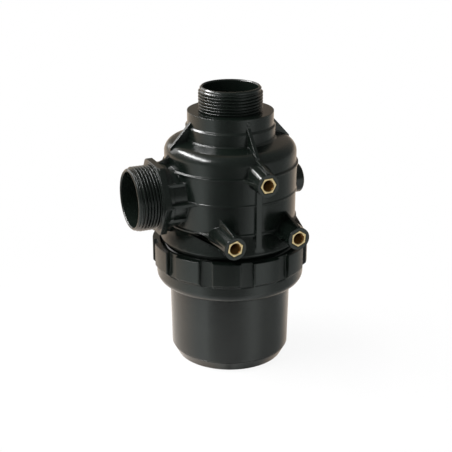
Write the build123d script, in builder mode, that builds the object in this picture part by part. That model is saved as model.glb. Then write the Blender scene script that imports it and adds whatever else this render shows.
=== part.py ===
from build123d import *
import math
import os

os.makedirs("parts", exist_ok=True)

# Suction filter, standing on its bowl. Millimetres, +Z up, origin at the centre of the bowl's base.
# The side port points towards -X and the three fixing bosses face -Y.

# Clearances
seat_gap = 0.3          # between pieces that rest on each other and come apart
slide_gap = 0.3         # radial, between parts that plug together
nut_gap = 0.4           # radial, over the coarse thread that the ring nut turns on
insert_gap = 0.03       # around a moulded-in insert

# Pipe ports: one and a half inch parallel pipe thread
port_thread_radius = 23.9
port_thread_length = 15.8
port_lead = 2.2         # chamfer that starts the thread
port_bore_radius = 18.2
bore_chamfer = 0.8

# Bowl
bowl_taper = 0.9        # the bowl narrows by this much down to its corner
bowl_corner_width = 4.0
bowl_corner_height = 7.6
bowl_wall = 3.6
bowl_floor = 4.0
bowl_flange_height = 5.0
bowl_spigot_height = 9.0
seat_rise = 2.0         # ring in the bowl that carries the cartridge
plug_radius = 11.0      # peg in the bowl that centres the cartridge
plug_rise = 7.0

# Ring nut
nut_bottom = 60.5
nut_height = 33.5
nut_lip_height = 5.0
nut_lip_gap = 0.9
nut_wall = 3.2
nut_corner_radius = 4.6
nut_rim_height = 14.5
nut_rim_rise = 2.2
nut_mouth_chamfer = 2.4
pad_rise = 4.6
pad_count = 12
pad_space = 9.6
pad_turn = 3.7          # angle of the first pad from +X
pad_corner_radius = 0.9
pip_radius = 1.0
pip_rise = 0.5

# Head, lower end
head_radius = 49.3      # above the first line
head_wall = 4.2
thread_step = 1.9       # the coarse thread under the ring nut stands out by this much
spigot_chamfer = 1.2
skirt_step = 3.7
skirt_gap = 3.0         # between the skirt and the tight ring nut
skirt_edge = 1.6
low_step = -1.3         # below the third line
middle_step = -0.6      # between the second and third lines
belt_step = 0.5         # between the first and second lines
bead_rise = 0.9
bead_height = 1.2
skirt_slope_height = 12.0

# Head, upper end
shoulder_start = 4.3    # above the top boss
neck_radius = 30.6
neck_fillet = 0.8
neck_height = 6.8
collar_radius = 32.1
collar_height = 10.3
gusset_thickness = 2.4
gusset_inset = 4.6      # the gusset runs out this far inside the wall
gusset_drop = 5.8       # below the shoulder's top, where the gusset runs out

# Fixing bosses and their inserts
boss_spacing = 50.0
boss_low_height = 111.1
boss_face = 66.0
boss_radius = 8.3
boss_web_rise = 5.1     # at the body, above the boss
boss_web_ends = {"insert_top": 2.0, "insert_left": 0.6, "insert_right": 0.6}
boss_web_width = 4.2
outer_web_inset = 3.8   # an outer web meets the wall this far in from the wall's widest
web_thickness = 2.5
insert_flats = 11.0
insert_length = 14.0
insert_hole_radius = 3.4
insert_hole_depth = 12.0
insert_turns = {"insert_top": 2.0, "insert_left": 18.0, "insert_right": 26.0}
rib_width = 4.6
rib_rise = 2.0

# Side port and the closed stub across from it
port_height = 134.2
port_reach = 80.4
port_tube_radius = 22.3
flange_flats = 51.0
flange_thickness = 5.0
flange_land = 1.2       # plain ring between the thread and the flange
flange_collar_radius = 25.2
flange_collar_thickness = 3.4
port_web_rise = 3.6     # the upright web climbs this far from the flange to the shoulder
stub_radius = 11.5
stub_reach = 57.5
stub_chamfer = 0.8
port_web_step = 13.4

# Cartridge
water_gap = 8.5         # between the bowl's wall and the cartridge
cage_rib_depth = 2.8
cage_rib_width = 3.2
cage_rib_count = 10
cage_hoop_count = 6
cage_hoop_height = 2.4
cage_cap_height = 6.0
cage_ring_height = 9.0
screen_thickness = 0.4
screen_gap = 0.05       # around the screen, moulded into its cage
seat_width = 8.2
inner_spigot_grip = 8.0
upper_seat_depth = 5.5  # the seat stands this far below the head's ceiling
seal_thickness = 2.0
seal_margin = 0.5
oring_radius = 1.6

# Heights that follow from the stack of pieces
flange_base = nut_bottom + nut_lip_height + seat_gap
flange_top = flange_base + bowl_flange_height
head_bottom = flange_top + seat_gap
nut_top = nut_bottom + nut_height
pad_bottom = nut_bottom + nut_rim_height
skirt_bottom = nut_top + skirt_gap
shoulder_radius = head_radius - neck_radius - neck_fillet
boss_top_height = boss_low_height + boss_spacing * math.sqrt(3) / 2
shoulder_base = boss_top_height + shoulder_start
shoulder_top = shoulder_base + shoulder_radius
neck_top = shoulder_top + neck_height
collar_top = neck_top + collar_height
port_thread_reach = port_thread_length + port_lead
mouth_height = collar_top + port_thread_reach

# Radii that follow from their neighbours
spigot_radius = head_radius + thread_step
skirt_radius = head_radius + skirt_step
low_radius = head_radius + low_step
middle_radius = head_radius + middle_step
belt_radius = head_radius + belt_step
head_inner_radius = head_radius - head_wall
bowl_top_radius = head_inner_radius
bowl_low_radius = bowl_top_radius - bowl_taper
bowl_base_radius = bowl_low_radius - bowl_corner_width
bowl_inner_radius = bowl_top_radius - bowl_wall
bowl_flange_radius = spigot_radius - slide_gap
bowl_spigot_radius = head_inner_radius - slide_gap
cage_radius = bowl_inner_radius - water_gap
inner_spigot_radius = cage_radius - seat_width
nut_bore_radius = spigot_radius + nut_gap
nut_floor_radius = nut_bore_radius + nut_wall
nut_rim_radius = nut_floor_radius + nut_rim_rise
pad_radius = nut_floor_radius + pad_rise
nut_lip_radius = bowl_top_radius + nut_lip_gap
ceiling_height = shoulder_top - head_wall

# Places along the cartridge
seat_top = bowl_floor + seat_rise
lower_seal_bottom = seat_top + seat_gap
cap_bottom = lower_seal_bottom + seal_thickness
cap_top = cap_bottom + cage_cap_height
upper_seat = ceiling_height - upper_seat_depth
upper_seal_top = upper_seat - seat_gap
ring_top = upper_seal_top - seal_thickness
ring_bottom = ring_top - cage_ring_height
cage_rib_inner = cage_radius - cage_rib_depth
plug_hole_radius = plug_radius + slide_gap
ring_hole_radius = inner_spigot_radius + slide_gap

# The seal between bowl and head, in a recess round the head's mouth
oring_ring_radius = bowl_spigot_radius + oring_radius + 0.1
recess_radius = oring_ring_radius + oring_radius + slide_gap
recess_height = 2 * oring_radius + slide_gap - seat_gap

boss_places = {
    "insert_top": (0, boss_top_height),
    "insert_left": (-boss_spacing / 2, boss_low_height),
    "insert_right": (boss_spacing / 2, boss_low_height),
}
line_heights = (boss_low_height + 1.2, port_height + 0.4, boss_top_height + 0.2)


def wall_depth(side, radius):
    """How far a round wall lies from the XZ plane, at a distance to one side of the axis."""
    return math.sqrt(radius**2 - side**2)


# Head: one moulding with both ports, the fixing bosses and the thread for the ring nut
with BuildPart() as head:
    low_line, middle_line, top_line = line_heights
    with BuildSketch(Plane.XZ):
        with BuildLine():
            body_side = Polyline(
                (0, head_bottom),
                (spigot_radius - spigot_chamfer, head_bottom),
                (spigot_radius, head_bottom + spigot_chamfer),
                (spigot_radius, skirt_bottom),
                (skirt_radius, skirt_bottom),
                (skirt_radius, skirt_bottom + skirt_edge),
                (low_radius, skirt_bottom + skirt_edge + skirt_slope_height),
                (low_radius, low_line - bead_height / 2),
                (middle_radius + bead_rise, low_line - bead_height / 2),
                (middle_radius + bead_rise, low_line + bead_height / 2),
                (middle_radius, low_line + bead_height),
                (middle_radius, middle_line - bead_height / 2),
                (belt_radius + bead_rise / 2, middle_line - bead_height / 2),
                (belt_radius + bead_rise / 2, middle_line + bead_height / 2),
                (belt_radius, middle_line + bead_height),
                (belt_radius, top_line - bead_height / 2),
                (belt_radius + bead_rise, top_line - bead_height / 2),
                (belt_radius + bead_rise, top_line + bead_height / 2),
                (head_radius, top_line + bead_height),
                (head_radius, shoulder_base),
            )
            shoulder = JernArc(body_side @ 1, (0, 1), shoulder_radius, 90)
            neck_curve = RadiusArc(
                shoulder @ 1, (neck_radius, shoulder_top + neck_fillet), -neck_fillet
            )
            top_side = Polyline(
                neck_curve @ 1,
                (neck_radius, neck_top),
                (collar_radius, neck_top),
                (collar_radius, collar_top),
                (port_thread_radius, collar_top),
                (port_thread_radius, mouth_height - port_lead),
                (port_thread_radius - port_lead, mouth_height),
                (0, mouth_height),
                (0, head_bottom),
            )
        make_face()
    revolve(axis=Axis.Z)

    # Side port: tube, hexagonal flange, plain land and threaded end
    with BuildSketch(Plane.YZ.offset(-port_reach)):
        with Locations((0, port_height)):
            Circle(port_thread_radius)
    extrude(amount=port_reach)
    chamfer(head.faces().sort_by(Axis.X)[0].edges(), port_lead)
    flange_front = port_reach - port_thread_reach
    with BuildSketch(Plane.YZ.offset(-flange_front - flange_land)):
        with Locations((0, port_height)):
            Circle(port_thread_radius + flange_land)
    extrude(amount=flange_land)
    with BuildSketch(Plane.YZ.offset(-flange_front)):
        with Locations((0, port_height)):
            RegularPolygon(flange_flats / 2, 6, major_radius=False)
    extrude(amount=flange_thickness)
    with BuildSketch(Plane.YZ.offset(-flange_front + flange_thickness)):
        with Locations((0, port_height)):
            Circle(port_tube_radius)
    extrude(amount=flange_front - flange_thickness)
    with BuildSketch(Plane.YZ.offset(-flange_front + flange_thickness)):
        with Locations((0, port_height)):
            Circle(flange_collar_radius)
    extrude(amount=flange_collar_thickness)

    # Webs from the flange to the body: level ones at both sides, upright ones above and below
    web_back = head_inner_radius
    flange_corner = flange_flats / math.sqrt(3)
    outer_web_side = flange_corner - port_web_step / math.sqrt(3)
    for rise, side in ((0, flange_corner), (port_web_step, outer_web_side), (-port_web_step, outer_web_side)):
        with BuildSketch(Plane.XY.offset(port_height + rise - web_thickness / 2)):
            with Locations((-flange_front + flange_thickness, 0)):
                Rectangle(flange_front - web_back * 0.6, 2 * side, align=(Align.MIN, Align.CENTER))
        extrude(amount=web_thickness)
    with BuildSketch(Plane.XZ):
        with BuildLine():
            Polyline(
                (-flange_front + flange_thickness, port_height - flange_flats / 2),
                (-flange_front + flange_thickness, port_height + flange_flats / 2),
                (-head_radius, port_height + flange_flats / 2 + port_web_rise),
                (-web_back, port_height + flange_flats / 2 + port_web_rise),
                (-web_back, port_height - flange_flats / 2 - port_web_rise),
                (-head_radius, port_height - flange_flats / 2 - port_web_rise),
                close=True,
            )
        make_face()
    extrude(amount=gusset_thickness / 2, both=True)

    # Closed stub on the other side
    with BuildSketch(Plane.YZ.offset(web_back - head_wall)):
        with Locations((0, port_height)):
            Circle(stub_radius)
    extrude(amount=stub_reach - web_back + head_wall)
    chamfer(head.faces().sort_by(Axis.X)[-1].edges(), stub_chamfer)

    # Gussets that brace the collar on the shoulder, one on each side
    for turn in range(4):
        angle = math.radians(90 * turn)
        across = (math.cos(angle), math.sin(angle), 0)
        along = (math.sin(angle), -math.cos(angle), 0)
        with BuildSketch(Plane(origin=(0, 0, 0), x_dir=across, z_dir=along)):
            with BuildLine():
                Polyline(
                    (neck_radius - 1, neck_top + 1),
                    (collar_radius - 0.1, neck_top + 1),
                    (collar_radius - 0.1, neck_top),
                    (head_radius - gusset_inset, shoulder_top - gusset_drop),
                    (neck_radius - 1, shoulder_top - gusset_drop),
                    close=True,
                )
            make_face()
        extrude(amount=gusset_thickness / 2, both=True)
    # The front one runs on to the top boss's web, as a low rib over the shoulder
    with BuildSketch(Plane.YZ):
        with BuildLine():
            Polyline(
                (-neck_radius, boss_top_height),
                (-neck_radius, shoulder_top - gusset_drop),
                (gusset_inset - head_radius, shoulder_top - gusset_drop),
                (-head_radius, boss_top_height + boss_radius + boss_web_rise),
                (-head_radius, boss_top_height),
                close=True,
            )
        make_face()
    extrude(amount=gusset_thickness / 2, both=True)

    # Bosses with a level web at each side and an upright web on top
    boss_root = head_inner_radius - head_wall - boss_radius
    with BuildSketch(Plane.XZ.offset(boss_root)):
        with Locations(*boss_places.values()):
            Circle(boss_radius)
    extrude(amount=boss_face - boss_root)
    for name, (side, height) in boss_places.items():
        wall = wall_depth(side, middle_radius)
        with BuildSketch(Plane.XY.offset(height - web_thickness / 2)):
            with BuildLine():
                near = boss_radius - 0.1
                inner = near + boss_web_width
                outer = middle_radius - outer_web_inset - abs(side)
                left = outer if side < 0 else inner
                right = outer if side > 0 else inner
                Polyline(
                    (side - near, -boss_face + 3),
                    (side - left, -wall_depth(abs(side - left), middle_radius) + 1),
                    (side, -boss_root),
                    (side + right, -wall_depth(abs(side + right), middle_radius) + 1),
                    (side + near, -boss_face + 3),
                    close=True,
                )
            make_face()
        extrude(amount=web_thickness)
        with BuildSketch(Plane.YZ.offset(side)):
            with BuildLine():
                Polyline(
                    (-boss_root, height),
                    (-boss_root, height + boss_radius + boss_web_rise),
                    (-wall - 0.4, height + boss_radius + boss_web_rise),
                    (-boss_face + 1, height + boss_radius + boss_web_ends[name]),
                    (-boss_face + 1, height),
                    close=True,
                )
            make_face()
        extrude(amount=gusset_thickness / 2, both=True)

    # Rib down the front, from the top boss to the skirt
    with BuildSketch(Plane.XY.offset(skirt_bottom + skirt_edge)):
        with Locations((0, -belt_radius + 1)):
            Rectangle(rib_width, rib_rise + 1, align=(Align.CENTER, Align.MAX))
    extrude(amount=boss_top_height - skirt_bottom - skirt_edge)

    # Moulding pip on the collar
    with BuildSketch(Plane.XZ.offset(collar_radius - 1)):
        with Locations((0, neck_top + collar_height * 0.45)):
            Circle(pip_radius)
    extrude(amount=1 + pip_rise)

    # Inside: the chamber round the cartridge, and the recess for the bowl's seal
    with BuildSketch(Plane.XZ):
        with BuildLine():
            chamber_side = Polyline(
                (0, head_bottom),
                (recess_radius, head_bottom),
                (recess_radius, head_bottom + recess_height),
                (head_inner_radius, head_bottom + recess_height),
                (head_inner_radius, shoulder_base),
            )
            inner_shoulder = JernArc(chamber_side @ 1, (0, 1), shoulder_radius - head_wall, 90)
            Polyline(inner_shoulder @ 1, (0, ceiling_height), (0, head_bottom))
        make_face()
    revolve(axis=Axis.Z, mode=Mode.SUBTRACT)

    # Seat and spigot that the cartridge plugs onto
    with BuildSketch(Plane.XZ):
        with BuildLine():
            Polyline(
                (0, ring_top - inner_spigot_grip),
                (inner_spigot_radius - 0.8, ring_top - inner_spigot_grip),
                (inner_spigot_radius, ring_top - inner_spigot_grip + 0.8),
                (inner_spigot_radius, upper_seat),
                (cage_radius, upper_seat),
                (cage_radius, ceiling_height + 1),
                (0, ceiling_height + 1),
                close=True,
            )
        make_face()
    revolve(axis=Axis.Z)

    # Bores of both ports
    with BuildSketch(Plane.XY.offset(mouth_height)):
        Circle(port_bore_radius)
    extrude(amount=-(mouth_height - ring_bottom), mode=Mode.SUBTRACT)
    with BuildSketch(Plane.YZ.offset(-port_reach)):
        with Locations((0, port_height)):
            Circle(port_bore_radius)
    extrude(amount=port_reach - cage_radius, mode=Mode.SUBTRACT)
    top_rim = head.faces().sort_by(Axis.Z)[-1].inner_wires()[0].edges()
    side_rim = head.faces().sort_by(Axis.X)[0].inner_wires()[0].edges()
    chamfer(top_rim + side_rim, bore_chamfer)

    # Hexagonal pockets that hold the inserts
    for name, place in boss_places.items():
        with BuildSketch(Plane.XZ.offset(boss_face)):
            with Locations(place):
                RegularPolygon(
                    insert_flats / 2 + insert_gap, 6, major_radius=False, rotation=insert_turns[name]
                )
        extrude(amount=-insert_length - insert_gap, mode=Mode.SUBTRACT)
head.part.label = "head"
export_step(head.part, "parts/head.step")

# Brass inserts, moulded into the bosses, with a blind tapped hole each
for name, place in boss_places.items():
    with BuildPart() as insert:
        with BuildSketch(Plane.XZ.offset(boss_face)):
            with Locations(place):
                RegularPolygon(insert_flats / 2, 6, major_radius=False, rotation=insert_turns[name])
        extrude(amount=-insert_length)
        with BuildSketch(Plane.XZ.offset(boss_face)):
            with Locations(place):
                Circle(insert_hole_radius)
        extrude(amount=-insert_hole_depth, mode=Mode.SUBTRACT)
    insert.part.label = name
    export_step(insert.part, f"parts/{name}.step")

# Ring nut: holds the bowl's flange up against the head
with BuildPart() as ring_nut:
    with BuildSketch(Plane.XZ):
        with BuildLine():
            underside = Polyline(
                (nut_lip_radius, nut_bottom + nut_lip_height),
                (nut_lip_radius, nut_bottom),
                (nut_rim_radius - nut_corner_radius, nut_bottom),
            )
            corner = JernArc(underside @ 1, (1, 0), nut_corner_radius, 90)
            Polyline(
                corner @ 1,
                (nut_rim_radius, pad_bottom),
                (nut_bore_radius, pad_bottom),
                (nut_bore_radius, nut_bottom + nut_lip_height),
                (nut_lip_radius, nut_bottom + nut_lip_height),
            )
        make_face()
    revolve(axis=Axis.Z)
    # Raised pads that a hand or a strap wrench grips, with slots between them
    slot_turn = pad_turn + 180 / pad_count
    with BuildSketch(Plane.XY.offset(pad_bottom)):
        Circle(pad_radius)
        with PolarLocations(nut_floor_radius, pad_count, start_angle=slot_turn):
            Rectangle(2 * pad_rise, pad_space, align=(Align.MIN, Align.CENTER), mode=Mode.SUBTRACT)
        Circle(nut_bore_radius, mode=Mode.SUBTRACT)
    extrude(amount=nut_top - pad_bottom)
    pad_edges = [
        edge
        for edge in ring_nut.edges().filter_by(Axis.Z)
        if edge.center().Z > pad_bottom and math.hypot(edge.center().X, edge.center().Y) > nut_rim_radius
    ]
    fillet(pad_edges, pad_corner_radius)
    mouth_edge = ring_nut.faces().sort_by(Axis.Z)[-1].inner_wires()[0].edges()
    chamfer(mouth_edge, nut_mouth_chamfer)
ring_nut.part.label = "ring_nut"
export_step(ring_nut.part, "parts/ring_nut.step")

# Bowl: a cup with a flange and a spigot that enters the head
with BuildPart() as bowl:
    with BuildSketch(Plane.XZ):
        with BuildLine():
            base = Line((0, 0), (bowl_base_radius, 0))
            corner = RadiusArc(base @ 1, (bowl_low_radius, bowl_corner_height), -bowl_corner_height * 1.25)
            Polyline(
                corner @ 1,
                (bowl_top_radius, flange_base),
                (bowl_flange_radius, flange_base),
                (bowl_flange_radius, flange_top),
                (bowl_spigot_radius, flange_top),
                (bowl_spigot_radius, flange_top + bowl_spigot_height - 1),
                (bowl_spigot_radius - 1, flange_top + bowl_spigot_height),
                (bowl_inner_radius, flange_top + bowl_spigot_height),
                (bowl_low_radius - bowl_wall, bowl_floor + bowl_wall),
                (bowl_low_radius - 2 * bowl_wall, bowl_floor),
                (cage_radius - seal_margin, bowl_floor),
                (cage_radius - seal_margin, seat_top),
                (plug_radius + 6, seat_top),
                (plug_radius + 6, bowl_floor),
                (plug_radius, bowl_floor),
                (plug_radius, bowl_floor + plug_rise - 1),
                (plug_radius - 1, bowl_floor + plug_rise),
                (0, bowl_floor + plug_rise),
                (0, 0),
            )
        make_face()
    revolve(axis=Axis.Z)
bowl.part.label = "bowl"
export_step(bowl.part, "parts/bowl.step")

# Seal that lies on the bowl's flange, with eight flats in place of a round section
with BuildPart() as bowl_seal:
    with BuildSketch(Plane.XZ):
        with Locations((oring_ring_radius, flange_top + oring_radius)):
            RegularPolygon(oring_radius, 8, major_radius=False, rotation=22.5)
    revolve(axis=Axis.Z)
bowl_seal.part.label = "bowl_seal"
export_step(bowl_seal.part, "parts/bowl_seal.step")

# Cartridge cage: closed cap below, open ring above, ribs and hoops between
with BuildPart() as cage:
    with BuildSketch(Plane.XY.offset(cap_bottom)):
        Circle(cage_radius)
    extrude(amount=cage_cap_height)
    with BuildSketch(Plane.XY.offset(cap_bottom)):
        Circle(plug_hole_radius)
    extrude(amount=bowl_floor + plug_rise + slide_gap - cap_bottom, mode=Mode.SUBTRACT)
    with BuildSketch(Plane.XY.offset(ring_bottom)):
        Circle(cage_radius)
        Circle(ring_hole_radius, mode=Mode.SUBTRACT)
    extrude(amount=cage_ring_height)
    with BuildSketch(Plane.XY.offset(cap_top)):
        with PolarLocations(cage_rib_inner, cage_rib_count, start_angle=180 / cage_rib_count):
            Rectangle(cage_rib_depth - 0.1, cage_rib_width, align=(Align.MIN, Align.CENTER))
    extrude(amount=ring_bottom - cap_top)
    hoop_pitch = (ring_bottom - cap_top) / (cage_hoop_count + 1)
    for number in range(cage_hoop_count):
        hoop_height = cap_top + hoop_pitch * (number + 1) - cage_hoop_height / 2
        with BuildSketch(Plane.XY.offset(hoop_height)):
            Circle(cage_radius)
            Circle(cage_rib_inner, mode=Mode.SUBTRACT)
        extrude(amount=cage_hoop_height)
cage.part.label = "cage"
export_step(cage.part, "parts/cage.step")

# Screen: a tube of woven wire inside the cage's ribs
with BuildPart() as screen:
    with BuildSketch(Plane.XY.offset(cap_top)):
        Circle(cage_rib_inner - screen_gap)
        Circle(cage_rib_inner - screen_gap - screen_thickness, mode=Mode.SUBTRACT)
    extrude(amount=ring_bottom - cap_top)
screen.part.label = "screen"
export_step(screen.part, "parts/screen.step")

# Flat seals at both ends of the cartridge
for name, height, hole in (
    ("upper_seal", ring_top, ring_hole_radius + seal_margin),
    ("lower_seal", lower_seal_bottom, plug_radius + 6 + seal_margin),
):
    with BuildPart() as seal:
        with BuildSketch(Plane.XY.offset(height)):
            Circle(cage_radius - seal_margin)
            Circle(hole, mode=Mode.SUBTRACT)
        extrude(amount=seal_thickness)
    seal.part.label = name
    export_step(seal.part, f"parts/{name}.step")
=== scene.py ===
# %% [markdown]
# # A suction filter, dressed for its portrait
#
# The object is a black plastic filter for the suction side of a pump. Its body, nut, bowl and brass
# inserts come from a CAD frame, which gives every place and nearly every size. This lesson adds what
# the frame leaves out: the screw threads, the woven screen, the round seal and the finish of each
# material. It also redraws some lines of the mouldings that the photograph shows more exactly.
#
# Blender counts in metres, and the frame's own axes are kept: Z is up, the side port looks along -X
# and the fixing bosses look along -Y. The object's sizes are written in millimetres here, and MM
# turns them into metres where Blender takes them.

import math

import bmesh
import bpy
from mathutils import Euler, Matrix, Vector


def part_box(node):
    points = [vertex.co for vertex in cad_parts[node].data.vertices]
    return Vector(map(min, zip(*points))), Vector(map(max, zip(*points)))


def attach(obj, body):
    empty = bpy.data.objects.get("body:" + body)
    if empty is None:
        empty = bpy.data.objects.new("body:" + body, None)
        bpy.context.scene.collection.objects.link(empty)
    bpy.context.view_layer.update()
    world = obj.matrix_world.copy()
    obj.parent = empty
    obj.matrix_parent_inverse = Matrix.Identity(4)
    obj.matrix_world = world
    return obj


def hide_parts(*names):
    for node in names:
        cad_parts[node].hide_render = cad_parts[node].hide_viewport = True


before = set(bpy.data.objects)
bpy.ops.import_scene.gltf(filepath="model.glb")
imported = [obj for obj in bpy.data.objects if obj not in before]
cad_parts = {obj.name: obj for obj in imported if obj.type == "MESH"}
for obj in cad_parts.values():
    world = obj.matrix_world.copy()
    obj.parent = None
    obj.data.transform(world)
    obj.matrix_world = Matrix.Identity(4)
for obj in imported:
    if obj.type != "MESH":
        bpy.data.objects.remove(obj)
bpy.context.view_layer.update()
MM = 0.001

# %% [markdown]
# ## Colours and nodes
#
# A material is a chain of nodes, so one helper adds a node, sets it and plugs it in. Colours are
# written as on the web, in sRGB hex, and turned to the linear values that a shader works in.


# %% Helpers for materials
def to_linear(hex_code):
    """An sRGB hex colour as the linear colour that a shader wants."""
    steps = [int(hex_code[i : i + 2], 16) / 255 for i in (1, 3, 5)]
    return tuple(s / 12.92 if s <= 0.04045 else ((s + 0.055) / 1.055) ** 2.4 for s in steps) + (1.0,)


def add_node(tree, kind, inputs=None, **settings):
    """Adds a node. Settings are its properties; inputs are sockets to link or values to set."""
    node = tree.nodes.new(kind)
    for name, value in settings.items():
        setattr(node, name, value)
    for name, value in (inputs or {}).items():
        if isinstance(value, bpy.types.NodeSocket):
            tree.links.new(value, node.inputs[name])
        else:
            node.inputs[name].default_value = value
    return node


def empty_material(name):
    """A new material that has no node in it yet."""
    material = bpy.data.materials.new(name)
    material.use_nodes = True
    material.node_tree.nodes.clear()
    return material


def set_stops(ramp, *stops):
    """Gives a colour ramp two stops, each a position and a hex colour."""
    for element, (position, hex_code) in zip(ramp.color_ramp.elements, stops):
        element.position = position
        element.color = to_linear(hex_code)


print("white is", to_linear("#FFFFFF"))

# %% [markdown]
# ## Black glass-filled nylon
#
# The head, nut and bowl are injection moulded in black nylon with short glass fibres. The steel mould
# is fine-blasted, and the fibres lie just under the skin, so the surface has a grain well under a
# millimetre and a gloss that changes slowly from place to place, as the melt flowed. Edges of a
# moulding are never quite sharp: a Bevel node rounds them for the light, which gives the thin bright
# lines along ribs and steps. The bowl's mould is better polished, so it is glossier and smoother. The
# cage inside is grey polypropylene, matt, and so close to nylon in its index of refraction that one
# value serves for both.

# %% Moulded plastic
NYLON_IOR = 1.53
FLOW_SIZE = 30.0  # the gloss changes over this many millimetres
GRAIN_HEIGHT = 0.05


def moulded_plastic(name, colour, dusty, gloss, grain_size, edge):
    """A moulded surface: its colour, its paler places' colour, roughness range, grain and edges."""
    material = empty_material(name)
    tree = material.node_tree
    place = add_node(tree, "ShaderNodeTexCoord").outputs["Object"]
    flow = add_node(
        tree,
        "ShaderNodeTexNoise",
        {
            "Vector": place,
            "Scale": 1 / (FLOW_SIZE * MM),
            "Detail": 3.0,
            "Roughness": 0.6,
            "Distortion": 0.8,
        },
    )
    tone = add_node(tree, "ShaderNodeValToRGB", {"Fac": flow.outputs["Fac"]})
    set_stops(tone, (0.35, colour), (0.75, dusty))
    shine = add_node(
        tree,
        "ShaderNodeMapRange",
        {
            "Value": flow.outputs["Fac"],
            "From Min": 0.3,
            "From Max": 0.7,
            "To Min": gloss[0],
            "To Max": gloss[1],
        },
    )
    grain = add_node(
        tree,
        "ShaderNodeTexNoise",
        {"Vector": place, "Scale": 1 / (grain_size * MM), "Detail": 2.0, "Roughness": 0.5},
    )
    rounded = add_node(tree, "ShaderNodeBevel", {"Radius": edge * MM}, samples=6)
    skin = add_node(
        tree,
        "ShaderNodeBump",
        {
            "Strength": 0.12,
            "Distance": GRAIN_HEIGHT * MM,
            "Height": grain.outputs["Fac"],
            "Normal": rounded.outputs["Normal"],
        },
    )
    surface = add_node(
        tree,
        "ShaderNodeBsdfPrincipled",
        {
            "Base Color": tone.outputs["Color"],
            "Roughness": shine.outputs["Result"],
            "IOR": NYLON_IOR,
            "Normal": skin.outputs["Normal"],
        },
    )
    add_node(tree, "ShaderNodeOutputMaterial", {"Surface": surface.outputs["BSDF"]})
    return material


head_nylon = moulded_plastic("black_glass_filled_nylon", "#0B110E", "#101612", (0.19, 0.26), 0.35, 0.8)
bowl_nylon = moulded_plastic("black_nylon_bowl", "#121513", "#171A17", (0.15, 0.21), 0.5, 0.6)
cage_plastic = moulded_plastic("grey_polypropylene_cage", "#3A3D3E", "#45484A", (0.38, 0.5), 0.5, 0.4)
print("plastics:", head_nylon.name, bowl_nylon.name, cage_plastic.name)

# %% [markdown]
# ## Brass, steel wire and rubber
#
# The inserts are turned from free-cutting brass bar: the metal is pale and bright on the faces, and
# brown down the hole, where it reflects itself over and over. Few bounces of light are followed
# there, so the hole gets a darker brown copy of the brass, which is painted shade standing in for
# the light the hole takes away. The screen is stainless wire, drawn and therefore smooth along its
# length. The seals are black nitrile rubber, dull and a touch bluish against the
# nylon. All of these have small spots of tone, so one function makes them.

# %% Metals and rubber
SPOT_HEIGHT = 0.03


def spotted_surface(name, colour, other, metallic, gloss, spot_size, bump):
    """A turned, drawn or moulded surface with small spots of tone and a fine bump."""
    material = empty_material(name)
    tree = material.node_tree
    place = add_node(tree, "ShaderNodeTexCoord").outputs["Object"]
    spots = add_node(
        tree,
        "ShaderNodeTexNoise",
        {"Vector": place, "Scale": 1 / (spot_size * MM), "Detail": 4.0, "Roughness": 0.55},
    )
    tone = add_node(tree, "ShaderNodeValToRGB", {"Fac": spots.outputs["Fac"]})
    set_stops(tone, (0.3, colour), (0.8, other))
    shine = add_node(
        tree,
        "ShaderNodeMapRange",
        {
            "Value": spots.outputs["Fac"],
            "From Min": 0.3,
            "From Max": 0.7,
            "To Min": gloss[0],
            "To Max": gloss[1],
        },
    )
    skin = add_node(
        tree,
        "ShaderNodeBump",
        {"Strength": bump, "Distance": SPOT_HEIGHT * MM, "Height": spots.outputs["Fac"]},
    )
    surface = add_node(
        tree,
        "ShaderNodeBsdfPrincipled",
        {
            "Base Color": tone.outputs["Color"],
            "Roughness": shine.outputs["Result"],
            "Metallic": metallic,
            "Normal": skin.outputs["Normal"],
        },
    )
    add_node(tree, "ShaderNodeOutputMaterial", {"Surface": surface.outputs["BSDF"]})
    return material


brass = spotted_surface("turned_brass", "#EBD3A8", "#D9B980", 1.0, (0.20, 0.34), 1.2, 0.3)
# A darker brown copy of the brass for the hole's faces and its tapping: painted shade down the hole.
brass_painted_shade = spotted_surface("brass_with_painted_hole_shade", "#8A6236", "#6B4520", 1.0, (0.30, 0.42), 1.2, 0.3)
wire = spotted_surface("drawn_stainless_wire", "#B9BABA", "#8F9090", 1.0, (0.22, 0.36), 0.8, 0.2)
rubber = spotted_surface("black_nitrile_rubber", "#1B1C1D", "#242527", 0.0, (0.5, 0.65), 0.6, 0.4)
print("metals and rubber:", brass.name, brass_painted_shade.name, wire.name, rubber.name)

# %% [markdown]
# ## Pieces that stay as the frame has them
#
# The cage and the two flat seals are right as they are. They keep the frame's mesh and only get
# their finish.

# %% Cage and flat seals
for node, material in {"cage": cage_plastic, "upper_seal": rubber, "lower_seal": rubber}.items():
    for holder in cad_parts[node].material_slots:
        holder.material = material
    print(node, "is finished in", material.name)

# %% [markdown]
# ## A copy of the head
#
# A piece of the frame is loose triangles and stays untouched, so what is redrawn is a copy of it,
# with the triangles merged at their corners. An operator acts on whatever is selected, so a helper
# makes the selection plain before each step.


# %% Helpers for copies
def take(*pieces):
    """Deselects everything, then selects these pieces, the first one as the active piece."""
    bpy.ops.object.select_all(action="DESELECT")
    for piece in pieces:
        piece.select_set(True)
    bpy.context.view_layer.objects.active = pieces[0]
    return pieces[0]


def copy_of(piece, name):
    """A copy with its own mesh."""
    twin = piece.copy()
    twin.data = piece.data.copy()
    twin.name = name
    bpy.context.collection.objects.link(twin)
    return twin


def merged_copy(node, name):
    """A copy of a piece of the frame, with its triangles merged at their corners."""
    piece = take(copy_of(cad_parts[node], name))
    bpy.ops.object.mode_set(mode="EDIT")
    bpy.ops.mesh.select_all(action="SELECT")
    bpy.ops.mesh.remove_doubles(threshold=0.005 * MM)
    bpy.ops.mesh.customdata_custom_splitnormals_clear()
    bpy.ops.object.mode_set(mode="OBJECT")
    return piece


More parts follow.
